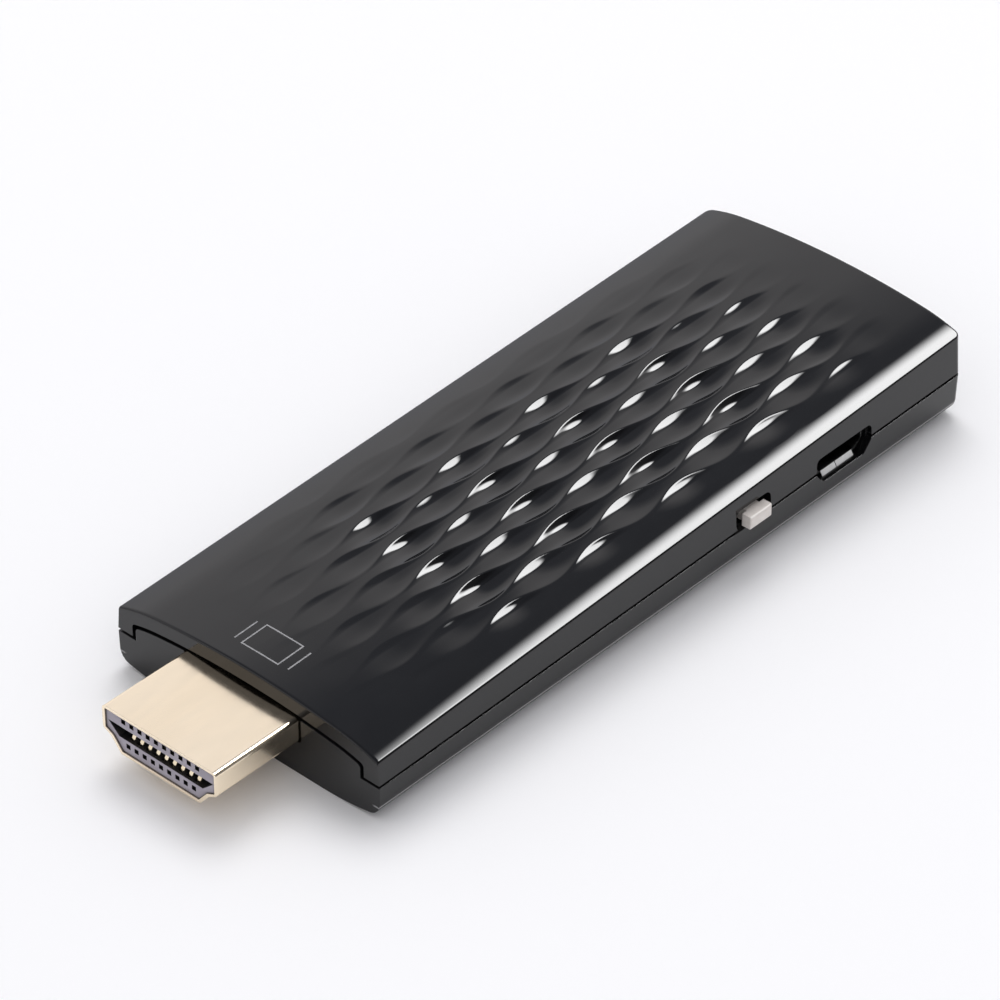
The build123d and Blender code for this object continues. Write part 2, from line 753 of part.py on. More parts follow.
with BuildPart() as button:
    with BuildSketch(Plane.XY.offset(button_low)):
        with Locations((button_place, button_tip)):
            Rectangle(button_width, button_head, align=(Align.CENTER, Align.MIN))
            Rectangle(button_stem_width, flange_front - button_tip, align=(Align.CENTER, Align.MIN))
        with Locations((button_place, flange_front)):
            Rectangle(button_width + 2 * button_flange, button_flange_thickness,
                      align=(Align.CENTER, Align.MIN))
        with Locations((button_place, flange_front + button_flange_thickness)):
            Rectangle(button_nose, dome_front - dome_gap - flange_front - button_flange_thickness,
                      align=(Align.CENTER, Align.MIN))
    extrude(amount=button_tall)
    fillet(button.faces().sort_by(Axis.Y)[0].edges(), button_edge_radius)

with BuildPart() as switch_dome:
    dome_half_width = button_width / 2 + button_flange - button_clearance
    with BuildSketch(Plane.XY.offset(button_low + button_clearance)):
        with BuildLine():
            ThreePointArc(
                (button_place - dome_half_width, dome_back - dome_sheet / 2),
                (button_place, dome_back - dome_rise - dome_sheet / 2),
                (button_place + dome_half_width, dome_back - dome_sheet / 2),
            )
        trace(line_width=dome_sheet)
    extrude(amount=button_tall - 2 * button_clearance)


def chip(place, size, edge=chip_edge):
    """A moulded package that stands on the board, with its upper edges taken off."""
    with BuildPart() as package:
        with BuildSketch(Plane.XY.offset(board_top)):
            with Locations(place):
                Rectangle(size[0], size[1])
        extrude(amount=size[2])
        chamfer(package.faces().sort_by(Axis.Z)[-1].edges(), edge)
    return package.part


# Processor, its thermal pad and the plate that spreads its heat
with BuildPart() as main_processor:
    add(chip(processor_place, processor_size))

with BuildPart() as thermal_pad:
    with BuildSketch(Plane.XY.offset(board_top + processor_size[2])):
        with Locations(processor_place):
            Rectangle(pad_size[0], pad_size[1])
    extrude(amount=pad_size[2])

with BuildPart() as heat_spreader:
    with BuildSketch(Plane.XY.offset(board_top + processor_size[2] + pad_size[2])):
        with Locations(processor_place):
            RectangleRounded(spreader_size[0], spreader_size[1], spreader_corner_radius)
    extrude(amount=spreader_size[2])

# Other packages on the board's upper face
with BuildPart() as memory_chips:
    add([chip(place, memory_size) for place in memory_places])

with BuildPart() as flash_chip:
    add(chip(flash_place, flash_size))

with BuildPart() as power_manager:
    add(chip(power_manager_place, power_manager_size))

with BuildPart() as power_inductors:
    add([chip(place, inductor_size, inductor_edge) for place in inductor_places])

with BuildPart() as power_capacitors:
    add([chip(place, storage_size, storage_edge) for place in storage_places])

with BuildPart() as main_crystal:
    add(chip(main_crystal_place, crystal_size, crystal_edge))

with BuildPart() as protection_arrays:
    with Locations(array_place):
        with GridLocations(0, array_pitch, 1, array_count) as array_grid:
            array_places = [(spot.position.X, spot.position.Y) for spot in array_grid.locations]
    add([chip(place, array_size) for place in array_places])

# Radio part under its shielding can
with BuildPart() as wireless_chip:
    add(chip(shield_place, wireless_size))

with BuildPart() as wireless_crystal:
    add(chip(wireless_crystal_place, crystal_size, crystal_edge))

with BuildPart() as shield_frame:
    with BuildSketch(Plane.XY.offset(board_top)):
        with Locations(shield_place):
            Rectangle(shield_size[0], shield_size[1])
            Rectangle(shield_size[0] - 2 * shield_sheet, shield_size[1] - 2 * shield_sheet,
                      mode=Mode.SUBTRACT)
    extrude(amount=shield_size[2])
    with BuildSketch(Plane.XY.offset(board_top + shield_size[2] - shield_sheet)):
        with Locations(shield_place):
            Rectangle(shield_size[0] - shield_sheet, shield_bar_width)
            Rectangle(shield_bar_width, shield_size[1] - shield_sheet)
    extrude(amount=shield_sheet)

with BuildPart() as shield_lid:
    lid_grow = 2 * (shield_sheet + lid_clearance)
    lid_top = board_top + shield_size[2]
    with BuildSketch(Plane.XY.offset(lid_top - lid_skirt)):
        with Locations(shield_place):
            Rectangle(shield_size[0] + lid_grow, shield_size[1] + lid_grow)
            Rectangle(shield_size[0] + 2 * lid_clearance, shield_size[1] + 2 * lid_clearance,
                      mode=Mode.SUBTRACT)
    extrude(amount=lid_skirt)
    with BuildSketch(Plane.XY.offset(lid_top)):
        with Locations(shield_place):
            Rectangle(shield_size[0] + lid_grow, shield_size[1] + lid_grow)
            with GridLocations(lid_hole_pitch, lid_hole_pitch, lid_hole_columns, lid_hole_rows):
                Circle(lid_hole_radius, mode=Mode.SUBTRACT)
    extrude(amount=shield_sheet)

# Two stamped antennas at the rear end: a raised plate on a feed leg and a ground leg
with BuildPart() as antennas:
    for side in (-1, 1):
        with BuildSketch(Plane.XY.offset(board_top + antenna_rise - antenna_sheet)):
            with Locations((board_rear - antenna_inset, side * antenna_y)):
                Rectangle(antenna_depth, antenna_length)
        extrude(amount=antenna_sheet)
        with BuildSketch(Plane.XY.offset(board_top)):
            for step in (0, antenna_leg + antenna_leg_gap):
                leg_place = side * (antenna_y - antenna_length / 2 + antenna_leg / 2 + step)
                with Locations((board_rear - antenna_inset + (antenna_depth - antenna_sheet) / 2, leg_place)):
                    Rectangle(antenna_sheet, antenna_leg)
        extrude(amount=antenna_rise - antenna_sheet)

# Small passive parts in rows
with BuildPart() as small_capacitors:
    with BuildSketch(Plane.XY.offset(board_top)):
        for place, grid in zip(capacitor_places, capacitor_grids):
            with Locations(place):
                with GridLocations(passive_pitch, passive_pitch, grid[0], grid[1]):
                    Rectangle(passive_size[0], passive_size[1])
    extrude(amount=passive_size[2])

with BuildPart() as small_resistors:
    with BuildSketch(Plane.XY.offset(board_top)):
        with Locations(pull_up_place):
            with GridLocations(0, pull_up_pitch, 1, pull_up_count):
                Rectangle(passive_size[1], passive_size[0])
        with Locations(resistor_place):
            with GridLocations(passive_pitch, passive_pitch, resistor_grid[0], resistor_grid[1]):
                Rectangle(passive_size[0], passive_size[1])
    extrude(amount=passive_size[2])

# Foam pad between the tray's floor and the board
with BuildPart() as board_foam:
    with BuildSketch(Plane.XY.offset(side_wall)):
        with Locations(foam_place):
            RectangleRounded(foam_size[0], foam_size[1], foam_corner_radius)
    extrude(amount=board_bottom - side_wall)

pieces = {
    "top_cover": top_cover,
    "bottom_cover": bottom_cover,
    "circuit_board": circuit_board,
    "display_plug_shell": display_plug_shell,
    "display_plug_insulator": display_plug_insulator,
    "display_plug_upper_contacts": display_plug_upper_contacts,
    "display_plug_lower_contacts": display_plug_lower_contacts,
    "power_socket_shell": power_socket_shell,
    "power_socket_tongue": power_socket_tongue,
    "power_socket_contacts": power_socket_contacts,
    "switch_housing": switch_housing,
    "switch_cover": switch_cover,
    "switch_dome": switch_dome,
    "button": button,
    "main_processor": main_processor,
    "thermal_pad": thermal_pad,
    "heat_spreader": heat_spreader,
    "memory_chips": memory_chips,
    "flash_chip": flash_chip,
    "power_manager": power_manager,
    "power_inductors": power_inductors,
    "power_capacitors": power_capacitors,
    "main_crystal": main_crystal,
    "wireless_chip": wireless_chip,
    "wireless_crystal": wireless_crystal,
    "shield_frame": shield_frame,
    "shield_lid": shield_lid,
    "antennas": antennas,
    "protection_arrays": protection_arrays,
    "small_capacitors": small_capacitors,
    "small_resistors": small_resistors,
    "board_foam": board_foam,
}
for name, piece in pieces.items():
    piece.part.label = name
    export_step(piece.part, f"parts/{name}.step")
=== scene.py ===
"""Looks of the wireless display dongle: finishes, finer top face, small pieces, light and camera.

All sizes are in metres in the part's own frame, unless a name or comment says millimetres.
"""

import json
import math

import bmesh
import bpy
import numpy as np
from mathutils import Matrix, Vector


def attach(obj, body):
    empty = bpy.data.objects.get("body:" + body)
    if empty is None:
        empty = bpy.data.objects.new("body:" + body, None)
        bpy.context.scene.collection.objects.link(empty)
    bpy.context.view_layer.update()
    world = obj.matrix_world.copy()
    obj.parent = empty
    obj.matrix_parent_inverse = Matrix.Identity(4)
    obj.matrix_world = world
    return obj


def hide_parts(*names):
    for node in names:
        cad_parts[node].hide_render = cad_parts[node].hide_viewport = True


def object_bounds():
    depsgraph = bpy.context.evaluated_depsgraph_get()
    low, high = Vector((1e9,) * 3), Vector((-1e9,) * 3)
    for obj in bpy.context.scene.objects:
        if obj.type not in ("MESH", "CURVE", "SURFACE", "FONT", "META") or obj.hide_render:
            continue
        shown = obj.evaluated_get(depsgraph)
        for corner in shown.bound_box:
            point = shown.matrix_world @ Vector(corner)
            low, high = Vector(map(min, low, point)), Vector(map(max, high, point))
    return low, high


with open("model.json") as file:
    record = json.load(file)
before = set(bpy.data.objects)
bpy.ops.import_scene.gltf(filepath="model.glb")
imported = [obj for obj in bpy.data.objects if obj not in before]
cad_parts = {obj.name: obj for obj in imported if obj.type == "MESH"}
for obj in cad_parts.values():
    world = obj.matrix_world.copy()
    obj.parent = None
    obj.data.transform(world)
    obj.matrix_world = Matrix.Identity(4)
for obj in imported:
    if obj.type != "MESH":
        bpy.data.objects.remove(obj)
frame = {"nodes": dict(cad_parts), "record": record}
cad_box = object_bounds()
nodes = frame["nodes"]
scene = bpy.context.scene
MM = 0.001

# Form of the upper cover in millimetres, the same values as in the part's source
CASE_LENGTH = 80.1
HALF_WIDTH = 15.95
PARTING = (3.8, 4.76)  # heights at the front end and at the rear end
CREASE = (6.6, 9.12)  # likewise
CROWN_RADIUS = 95.0
SHOULDER_START = 11.2
SHOULDER_RADIUS = 19.0
DRAFT = math.tan(math.radians(4.5))
REAR_CORNER = 0.7
FRONT_X = -CASE_LENGTH / 2
REAR_X = CASE_LENGTH / 2

# Rounding of the top face's edges in millimetres: at both ends, and along both creases
END_EDGE = 0.25
CREASE_EDGE = 0.2

# Relief in millimetres: staggered leaf-shaped hollows between wavy ridges
PITCH_X = 11.56
PITCH_Y = 4.33
ROW_PITCH = PITCH_Y / 2
LEAF_X = 4.71
LEAF_Y = 0.58
RIDGE_WAVE = 0.494
DEEP = 0.53
SHALLOW = 0.31
RIM_BLEND = 0.012

# Form of a hollow, in shares of its width and powers
LOW_POINT = 0.7335
LOWER_CURVE = 3.5
UPPER_CURVE = 1.48
POINTED = 2.48

# Where the relief fades out, in millimetres: its main part, and its faint rest further out
FRONT_FADE = (-28.4, -17.2)
FAINT_FRONT_FADE = (-38.0, -25.0)
FAR_FADE = (1.75, 11.9)
FAINT_FAR_FADE = (9.5, 15.5)
REAR_FADE = (16.5, 37.0)
NEAR_FADE = (-14.06, -9.0)
FAINT_SHARE = 0.16
SHRINK_CURVE = 0.8
SHRINK_SHARE = 0.5


def along(x, ends):
    """Value at x of what changes evenly from the front end to the rear end."""
    return ends[0] + (ends[1] - ends[0]) * (x - FRONT_X) / CASE_LENGTH


# Section of the crown: a flat arch with tighter shoulders, carried along the slope of the case
SLOPE = math.atan((CREASE[1] - CREASE[0]) / CASE_LENGTH)
MID_CREASE = (CREASE[0] + CREASE[1]) / 2
MID_PARTING = (PARTING[0] + PARTING[1]) / 2
ARCH_END = math.asin(SHOULDER_START / CROWN_RADIUS)
SHOULDER_Y = SHOULDER_START - SHOULDER_RADIUS * math.sin(ARCH_END)
MID_WALL = HALF_WIDTH - (MID_CREASE - MID_PARTING) * DRAFT
SHOULDER_Z = -SHOULDER_RADIUS * math.cos(math.asin((MID_WALL - SHOULDER_Y) / SHOULDER_RADIUS))
CROWN_Z = SHOULDER_Z - (CROWN_RADIUS - SHOULDER_RADIUS) * math.cos(ARCH_END)


def crown_z(x, y):
    """Height of the smooth crown."""
    away = np.abs(y)
    arch = CROWN_Z + np.sqrt(CROWN_RADIUS**2 - np.minimum(away, SHOULDER_START) ** 2)
    shoulder = SHOULDER_Z + np.sqrt(np.maximum(SHOULDER_RADIUS**2 - (away - SHOULDER_Y) ** 2, 0))
    height = np.where(away < SHOULDER_START, arch, shoulder)
    return MID_CREASE + x * math.tan(SLOPE) + height / math.cos(SLOPE)


def crown_at(x, y):
    """Height of the smooth crown at one point, as a plain number."""
    return float(crown_z(np.array(x), np.array(y)))


def crease_y(x):
    """Half width of the cover where the crown meets the walls, found in a few rounds."""
    y = np.full_like(x, MID_WALL)
    for _ in range(4):
        y = HALF_WIDTH - (crown_z(x, y) - along(x, PARTING)) * DRAFT
    return y


def rise(value, low, high):
    """From 0 at low to 1 at high, with a soft start and end."""
    t = np.clip((value - low) / (high - low), 0, 1)
    return t * t * (3 - 2 * t)


def relief_strength(x, y):
    """From 0 outside the field of hollows to 1 in its middle."""
    main_share = 1 - FAINT_SHARE
    front = main_share * rise(x, *FRONT_FADE) + FAINT_SHARE * rise(x, *FAINT_FRONT_FADE)
    rear = 1 - rise(x, *REAR_FADE)
    far = main_share * (1 - rise(y, *FAR_FADE)) + FAINT_SHARE * (1 - rise(y, *FAINT_FAR_FADE))
    near = rise(y, *NEAR_FADE)
    return front * rear * far * near


def row_edges(row, wave):
    """Both edges of a row of hollows. It is wide where the rows beside it are narrow."""
    sign = 1 - 2 * np.mod(row, 2)
    bottom = LEAF_Y + (row - 0.5) * ROW_PITCH - sign * wave
    top = LEAF_Y + (row + 0.5) * ROW_PITCH + sign * wave
    return bottom, top


def relief(x, y):
    """Depth of the relief below the crown."""
    wave = RIDGE_WAVE * np.cos(2 * math.pi * (x - LEAF_X) / PITCH_X)
    row = np.round((y - LEAF_Y) / ROW_PITCH)
    # the edges wave, so a point near one may belong to the next row
    for _ in range(2):
        bottom, top = row_edges(row, wave)
        row = row + (y > top) - (y < bottom)
    bottom, top = row_edges(row, wave)
    width = top - bottom
    across = (y - bottom) / width
    fullness = (width / (ROW_PITCH + 2 * RIDGE_WAVE)) ** POINTED
    lower = 1 - np.clip((LOW_POINT - across) / LOW_POINT, 0, 1) ** LOWER_CURVE
    upper = 1 - np.clip((across - LOW_POINT) / (1 - LOW_POINT), 0, 1) ** UPPER_CURVE
    hollow = fullness * np.where(across < LOW_POINT, lower, upper)
    depth = np.where(np.mod(row, 2) == 0, DEEP, SHALLOW)
    # towards the edges of the field the hollows get smaller as well as shallower
    strength = relief_strength(x, y)
    kept = strength**SHRINK_CURVE
    lowered = depth * (hollow * kept - SHRINK_SHARE * (kept - strength))
    # nothing rises above the crown, and each hollow's rim is a little soft
    return (lowered + np.sqrt(lowered**2 + RIM_BLEND**2) - RIM_BLEND) / 2


def new_mesh(name, points, faces):
    """A mesh from points in millimetres."""
    mesh = bpy.data.meshes.new(name)
    mesh.from_pydata((np.array(points) * MM).tolist(), [], faces)
    mesh.update()
    return mesh


def new_object(name, mesh, slot, material=None, body="case"):
    """A piece on a body, in the finish of its slot or in one of its own."""
    obj = bpy.data.objects.new(name, mesh)
    scene.collection.objects.link(obj)
    obj.data.materials.clear()
    obj.data.materials.append(material or materials[slot])
    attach(obj, body)
    return obj


# What all finishes have in common
IOR = 1.5
COLOUR_DETAIL = 4.0
ROUGH_DETAIL = 3.0
BUMP_DETAIL = 2.0
TONE_STOPS = (0.35, 0.65)  # noise at which a finish has its dark tone, and its light one
ROUGH_STOPS = (0.3, 0.7)  # noise at which it is least rough, and most
# Painted shade in narrow hollows: the colour darkens by how closed in a point is
PAINTED_SHADE_STOPS = (0.6, 0.97)  # openness at which a hollow is darkest, and no longer darker
PAINTED_SHADE_KEPT = 0.02  # share of its colour that the darkest hollow keeps
PAINTED_SHADE_SAMPLES = 8
BEVEL_SAMPLES = 6


def node_material(name):
    mat = bpy.data.materials.new(name)
    mat.use_nodes = True
    tree = mat.node_tree
    return mat, tree, tree.nodes["Principled BSDF"]


def noise(tree, scale, detail, stretch):
    """Noise in the object's own metres: scale is features per metre."""
    coord = tree.nodes.new("ShaderNodeTexCoord")
    mapping = tree.nodes.new("ShaderNodeMapping")
    mapping.inputs["Scale"].default_value = stretch
    tex = tree.nodes.new("ShaderNodeTexNoise")
    tex.inputs["Scale"].default_value = scale
    tex.inputs["Detail"].default_value = detail
    tree.links.new(coord.outputs["Object"], mapping.inputs["Vector"])
    tree.links.new(mapping.outputs["Vector"], tex.inputs["Vector"])
    return tex.outputs["Fac"]


def ramp(tree, factor, stops):
    """A colour that blends evenly from stop to stop."""
    node = tree.nodes.new("ShaderNodeValToRGB")
    elements = node.color_ramp.elements
    while len(elements) < len(stops):
        elements.new(0.5)
    for element, (position, colour) in zip(elements, stops):
        element.position = position
        element.color = (*colour, 1)
    tree.links.new(factor, node.inputs["Fac"])
    return node.outputs["Color"]


def map_range(tree, factor, from_low, from_high, low, high, smooth=False):
    node = tree.nodes.new("ShaderNodeMapRange")
    if smooth:
        node.interpolation_type = "SMOOTHSTEP"
    node.inputs["From Min"].default_value = from_low
    node.inputs["From Max"].default_value = from_high
    node.inputs["To Min"].default_value = low
    node.inputs["To Max"].default_value = high
    tree.links.new(factor, node.inputs["Value"])
    return node.outputs["Result"]


def calculated(tree, operation, *values, clamp=False):
    """What a Math node makes of the values."""
    node = tree.nodes.new("ShaderNodeMath")
    node.operation = operation
    node.use_clamp = clamp
    for value, socket in zip(values, node.inputs):
        tree.links.new(value, socket)
    return node.outputs[0]


def tinted(tree, colour, factor):
    """The colour scaled by a factor that changes over the surface."""
    node = tree.nodes.new("ShaderNodeVectorMath")
    node.operation = "SCALE"
    tree.links.new(colour, node.inputs[0])
    tree.links.new(factor, node.inputs["Scale"])
    return node.outputs[0]


def painted_shade_in_hollows(tree, colour, reach):
    """The colour with painted shade: darker in narrow hollows, the more closed in they are."""
    shade = tree.nodes.new("ShaderNodeAmbientOcclusion")
    shade.samples = PAINTED_SHADE_SAMPLES
    shade.inputs["Distance"].default_value = reach
    light = map_range(tree, shade.outputs["AO"], *PAINTED_SHADE_STOPS, PAINTED_SHADE_KEPT, 1.0)
    return tinted(tree, colour, light)


def finish_material(name, dark, light, rough, metallic=0.0, colour_scale=300.0, rough_scale=900.0,
                    bump_scale=0.0, bump=0.0, stretch=(1, 1, 1), edge=0.0, spec=0.5, hollow=0.0):
    """A moulded, plated or rolled finish: two near tones, uneven roughness, fine bumps, soft edges.

    Each scale is in features per metre. bump is the bumps' height, edge the radius of the soft
    edges and hollow the reach of the painted shade in narrow hollows, each 0 for none.
    """
    mat, tree, bsdf = node_material(name)
    tones = list(zip(TONE_STOPS, (dark, light)))
    colour = ramp(tree, noise(tree, colour_scale, COLOUR_DETAIL, stretch), tones)
    # painted shade: the colour is darkened in narrow hollows
    if hollow:
        colour = painted_shade_in_hollows(tree, colour, hollow)
    tree.links.new(colour, bsdf.inputs["Base Color"])
    uneven = noise(tree, rough_scale, ROUGH_DETAIL, stretch)
    tree.links.new(map_range(tree, uneven, *ROUGH_STOPS, *rough), bsdf.inputs["Roughness"])
    bsdf.inputs["Metallic"].default_value = metallic
    bsdf.inputs["IOR"].default_value = IOR
    bsdf.inputs["Specular IOR Level"].default_value = spec
    normal = None
    if edge:
        bevel = tree.nodes.new("ShaderNodeBevel")
        bevel.samples = BEVEL_SAMPLES
        bevel.inputs["Radius"].default_value = edge
        normal = bevel.outputs["Normal"]
    if bump:
        bumps = tree.nodes.new("ShaderNodeBump")
        bumps.inputs["Strength"].default_value = 1.0
        bumps.inputs["Distance"].default_value = bump
        tree.links.new(noise(tree, bump_scale, BUMP_DETAIL, stretch), bumps.inputs["Height"])
        if normal:
            tree.links.new(normal, bumps.inputs["Normal"])
        normal = bumps.outputs["Normal"]
    if normal:
        tree.links.new(normal, bsdf.inputs["Normal"])
    return mat


# One finish for each material slot of the record
materials = {
    "gloss_cover": finish_material(
        "gloss_black_plastic", dark=(0.0035, 0.0035, 0.004), light=(0.005, 0.005, 0.0055),
        rough=(0.02, 0.045), rough_scale=160.0, bump_scale=260.0, bump=1.2e-6, spec=0.43),
    "satin_cover": finish_material(
        "satin_black_plastic", dark=(0.005, 0.005, 0.0055), light=(0.007, 0.007, 0.0075),
        rough=(0.12, 0.2), rough_scale=1400.0, bump_scale=9000.0, bump=1.5e-6, edge=0.0001,
        spec=0.43),
    "board": finish_material(
        "green_board_lacquer", dark=(0.004, 0.03, 0.012), light=(0.006, 0.045, 0.018),
        rough=(0.2, 0.35), colour_scale=600.0),
    "gold": finish_material(
        "pale_gold_plating", dark=(0.96, 0.82, 0.62), light=(0.99, 0.86, 0.67),
        rough=(0.16, 0.22), metallic=1.0, colour_scale=120.0, stretch=(0.25, 1, 1),
        bump_scale=1500.0, bump=0.25e-6, edge=0.00006),
    # its narrow hollows get painted shade
    "grey_insulator": finish_material(
        "grey_moulded_resin", dark=(0.34, 0.31, 0.36), light=(0.40, 0.37, 0.42),
        rough=(0.4, 0.55), edge=0.00004, hollow=0.0028),
    "contact_gold": finish_material(
        "contact_gold_plating", dark=(0.95, 0.80, 0.55), light=(0.99, 0.87, 0.65),
        rough=(0.12, 0.22), metallic=1.0),
    # its narrow hollows get painted shade
    "steel": finish_material(
        "bright_steel_sheet", dark=(0.84, 0.84, 0.83), light=(0.92, 0.92, 0.91),
        rough=(0.3, 0.42), metallic=1.0, bump_scale=3000.0, bump=0.8e-6, edge=0.00005,
        hollow=0.0025),
    "black_insulator": finish_material(
        "black_moulded_resin", dark=(0.008, 0.008, 0.008), light=(0.014, 0.014, 0.014),
        rough=(0.35, 0.5), edge=0.00005),
    "button_white": finish_material(
        "white_moulded_button", dark=(0.72, 0.67, 0.63), light=(0.80, 0.75, 0.71),
        rough=(0.35, 0.5), colour_scale=900.0, bump_scale=4000.0, bump=2e-6, edge=0.00012),
    "chip_black": finish_material(
        "black_chip_resin", dark=(0.012, 0.012, 0.013), light=(0.02, 0.02, 0.021),
        rough=(0.45, 0.6)),
    "pad_blue": finish_material(
        "blue_thermal_pad", dark=(0.16, 0.27, 0.42), light=(0.2, 0.33, 0.5),
        rough=(0.6, 0.8)),
    "aluminium_plate": finish_material(
        "brushed_aluminium", dark=(0.72, 0.73, 0.74), light=(0.8, 0.81, 0.82),
        rough=(0.25, 0.4), metallic=1.0, stretch=(0.1, 1, 1)),
    "ferrite": finish_material(
        "grey_ferrite", dark=(0.06, 0.06, 0.062), light=(0.09, 0.09, 0.092),
        rough=(0.5, 0.7)),
    "capacitor_yellow": finish_material(
        "tan_storage_case", dark=(0.65, 0.42, 0.1), light=(0.72, 0.5, 0.16),
        rough=(0.35, 0.5)),
    "tin": finish_material(
        "tinned_sheet", dark=(0.6, 0.6, 0.6), light=(0.7, 0.7, 0.69),
        rough=(0.2, 0.35), metallic=1.0),
    "capacitor_tan": finish_material(
        "tan_ceramic", dark=(0.36, 0.27, 0.18), light=(0.42, 0.32, 0.22),
        rough=(0.4, 0.6)),
    "resistor_black": finish_material(
        "black_resistor_glaze", dark=(0.012, 0.012, 0.013), light=(0.03, 0.03, 0.03),
        rough=(0.25, 0.4)),
    "foam": finish_material(
        "grey_foam", dark=(0.08, 0.08, 0.085), light=(0.13, 0.13, 0.135),
        rough=(0.85, 0.95), bump_scale=3000.0, bump=3e-5),
}

# Finishes of the socket's lip and of the printed mark
worn_tin = finish_material(
    "worn_tin", dark=(0.80, 0.80, 0.79), light=(0.92, 0.92, 0.91),
    rough=(0.4, 0.5), metallic=0.3, colour_scale=1500.0)
pale_print = finish_material(
    "pale_print", dark=(0.24, 0.24, 0.25), light=(0.34, 0.34, 0.35),
    rough=(0.4, 0.5), colour_scale=2000.0)

# Painted highlight, a thin pale line on the bottom cover: heights where it comes and goes, how far
# out it starts
HIGHLIGHT_START = (0.00148, 0.00158)
HIGHLIGHT_STOP = (0.00164, 0.00174)
HIGHLIGHT_ASIDE = (0.0150, 0.0154)
HIGHLIGHT_COLOUR = (0.24, 0.24, 0.245, 1)


def add_painted_edge_highlight():
    """A painted highlight: the grazing reflection of the floor drawn as one thin pale line low on
    the bottom cover's long sides.
    """
    tree = materials["satin_cover"].node_tree
    base_colour = tree.nodes["Principled BSDF"].inputs["Base Color"]
    coord = tree.nodes.new("ShaderNodeTexCoord")
    split = tree.nodes.new("ShaderNodeSeparateXYZ")
    tree.links.new(coord.outputs["Object"], split.inputs[0])
    # painted highlight: a pale band at a fixed height on the long sides
    above = map_range(tree, split.outputs["Z"], *HIGHLIGHT_START, 0.0, 1.0, smooth=True)
    below = map_range(tree, split.outputs["Z"], *HIGHLIGHT_STOP, 1.0, 0.0, smooth=True)
    outwards = calculated(tree, "ABSOLUTE", split.outputs["Y"])
    beside = map_range(tree, outwards, *HIGHLIGHT_ASIDE, 0.0, 1.0, smooth=True)
    line = calculated(tree, "MULTIPLY", calculated(tree, "MULTIPLY", above, below), beside)
    colour = tree.nodes.new("ShaderNodeMix")
    colour.data_type = "RGBA"
    tree.links.new(line, colour.inputs["Factor"])
    tree.links.new(base_colour.links[0].from_socket, colour.inputs["A"])
    colour.inputs["B"].default_value = HIGHLIGHT_COLOUR
    tree.links.new(colour.outputs["Result"], base_colour)


# paint the highlight line on the bottom cover
add_painted_edge_highlight()
slot_of = {entry["node"]: entry["material_slot"] for entry in frame["record"]["subparts"]}
for name, obj in nodes.items():
    for place in obj.material_slots:
        place.material = materials[slot_of[name]]

# What tells the frame's top face and its rim from the walls, lengths in millimetres
LEAST_UPWARD = 0.5  # upward part of a top facet's normal
CROWN_REACH = 0.6  # how far the middle of a top facet may be from the smooth crown
END_REACH = 0.02
NEAR_ENOUGH = 0.01
WALL_Y = 14.0  # further out than this, the rim stands on the long walls
CREASED_ANGLE = 0.45  # edges that turn by more radians than this stay crisp

# Grid of the finer top face, and its skirt in millimetres
COLUMNS = 680
ROWS = 480
EDGE_STEPS = 7
SKIRT_INSET = 0.015
SKIRT_HEIGHT = 0.12


def edge_size(ahead, aside):
    """Size of the edge rounding round a rear corner, from that of the crease to that of the end."""
    return (END_EDGE * ahead**2 + CREASE_EDGE * aside**2) / (ahead**2 + aside**2)


def edge_drop(distance, size):
    """How far a rounding of this size lowers the surface at a distance from its edge."""
    return size * (1 - np.sqrt(np.clip(distance / size, 0, 1))) ** 2


def rim_edge_size(x, y):
    """Size of the edge rounding at a point on the rim."""
    ahead = x - (REAR_X - REAR_CORNER)
    aside = abs(y) - (float(crease_y(np.array(x))) - REAR_CORNER)
    if ahead > 0 and aside > -NEAR_ENOUGH:
        return edge_size(ahead, max(aside, 0))
    at_end = x < FRONT_X + END_REACH or x > REAR_X - END_REACH
    return END_EDGE if at_end else CREASE_EDGE


def cover_wall_mesh():
    """The frame's cover without its top face. Its rim is lowered to where the rounding ends."""
    bm = bmesh.new()
    bm.from_mesh(nodes["top_cover"].data)
    top_face = []
    for face in bm.faces:
        centre = face.calc_center_median() / MM
        off_crown = abs(centre.z - crown_at(centre.x, centre.y))
        if face.normal.z > LEAST_UPWARD and off_crown < CROWN_REACH:
            top_face.append(face)
    bmesh.ops.delete(bm, geom=top_face, context="FACES")
    for vertex in bm.verts:
        x, y, z = vertex.co / MM
        level = crown_at(x, y)
        if level - z > END_EDGE + NEAR_ENOUGH:
            continue
        drop = max(z - (level - rim_edge_size(x, y)), 0)
        outwards = math.copysign(drop * DRAFT, y) if abs(y) > WALL_Y else 0
        vertex.co = Vector((x, y + outwards, z - drop)) * MM
    for face in bm.faces:
        face.smooth = True
    for edge in bm.edges:
        if len(edge.link_faces) != 2 or edge.calc_face_angle(0) > CREASED_ANGLE:
            edge.smooth = False
    mesh = bpy.data.meshes.new("cover_walls")
    bm.to_mesh(mesh)
    bm.free()
    return mesh


def spaced(count, start, end, edge):
    """Places from start to end: even inside, closer together where the edges round over."""
    rounded = edge * (np.arange(EDGE_STEPS) / EDGE_STEPS) ** 2
    inside = np.linspace(start + edge, end - edge, count)
    return np.concatenate([start + rounded, inside, end - rounded[::-1]])


